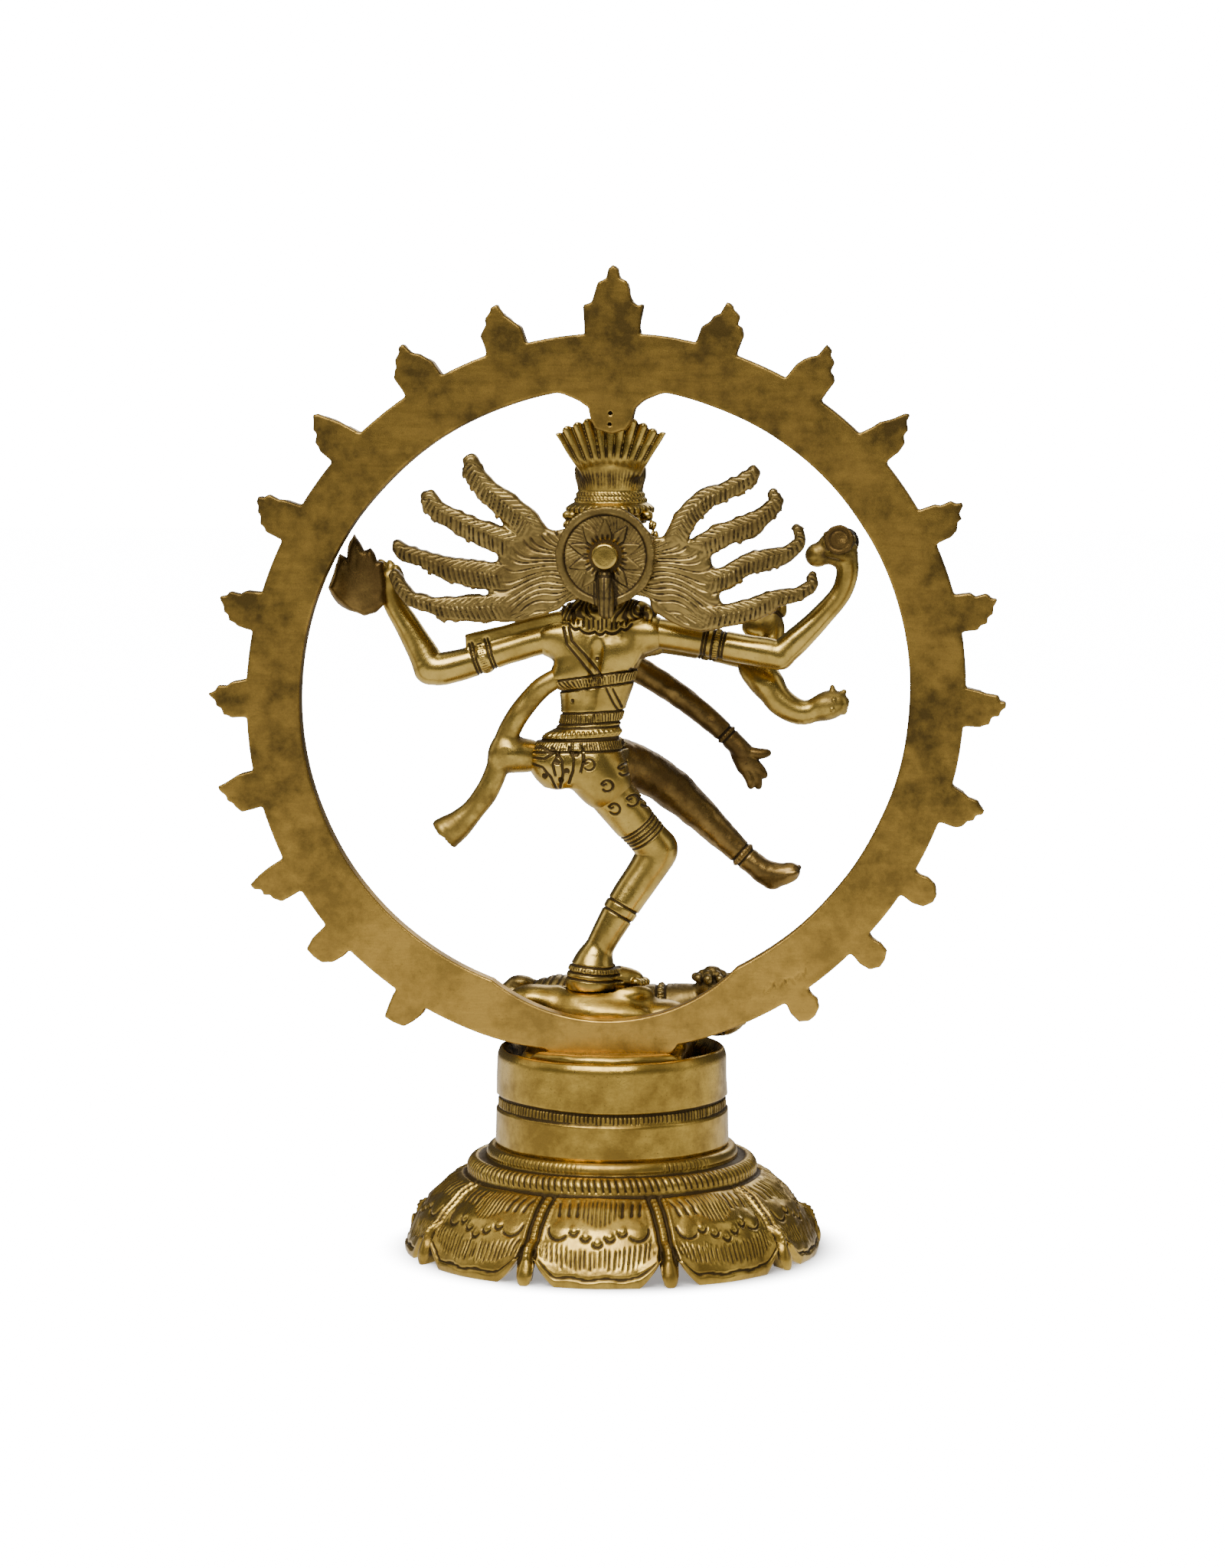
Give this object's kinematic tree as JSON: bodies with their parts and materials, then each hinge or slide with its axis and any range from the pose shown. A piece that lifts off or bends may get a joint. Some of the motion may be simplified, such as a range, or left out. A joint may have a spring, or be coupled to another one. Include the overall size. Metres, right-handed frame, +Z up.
{
  "type": "nataraja statue",
  "caption": "Cast brass dancing four-armed figure in a ring of flames, standing on a dwarf, a drum and a flaring lotus base.",
  "frame": {"origin": "on the surface it stands on, under the middle of the round lotus base", "axes": "+Z up; the figure faces -Y, so the flat back of the flame ring looks along +Y; +X is on the figure's left"},
  "size_m": [0.2008, 0.1087, 0.2544],
  "materials": {
    "aged_brass": "aged cast brass, mottled, dark in the cuts",
    "brushed_brass": "flat brass brushed with emery, olive brown",
    "bright_brass": "polished cast brass, dark in the recesses",
    "pale_brass": "matt pale brass with dark engraved strokes",
    "dark_brass": "unpolished dark brown brass, slightly rough",
    "zinc_steel": "zinc plated"
  },
  "bodies": {
    "root": {"lotus_skirt": "aged_brass", "pedestal_drum": "aged_brass", "plinth_pad": "aged_brass", "mounting_stud": "zinc_steel", "stud_washer": "zinc_steel", "stud_nut": "zinc_steel", "flame_ring": "brushed_brass", "dwarf": "dark_brass", "torso": "bright_brass", "head": "bright_brass", "crest": "bright_brass", "head_disc": "pale_brass", "disc_rivet": "bright_brass", "left_hair": "pale_brass", "right_hair": "pale_brass", "rear_left_arm": "bright_brass", "rear_right_arm": "bright_brass", "front_left_arm": "dark_brass", "front_right_arm": "bright_brass", "flame_bowl": "dark_brass", "damaru": "dark_brass", "cobra": "bright_brass", "sash": "bright_brass", "standing_leg": "bright_brass", "raised_leg": "dark_brass"}
  },
  "joints": []
}
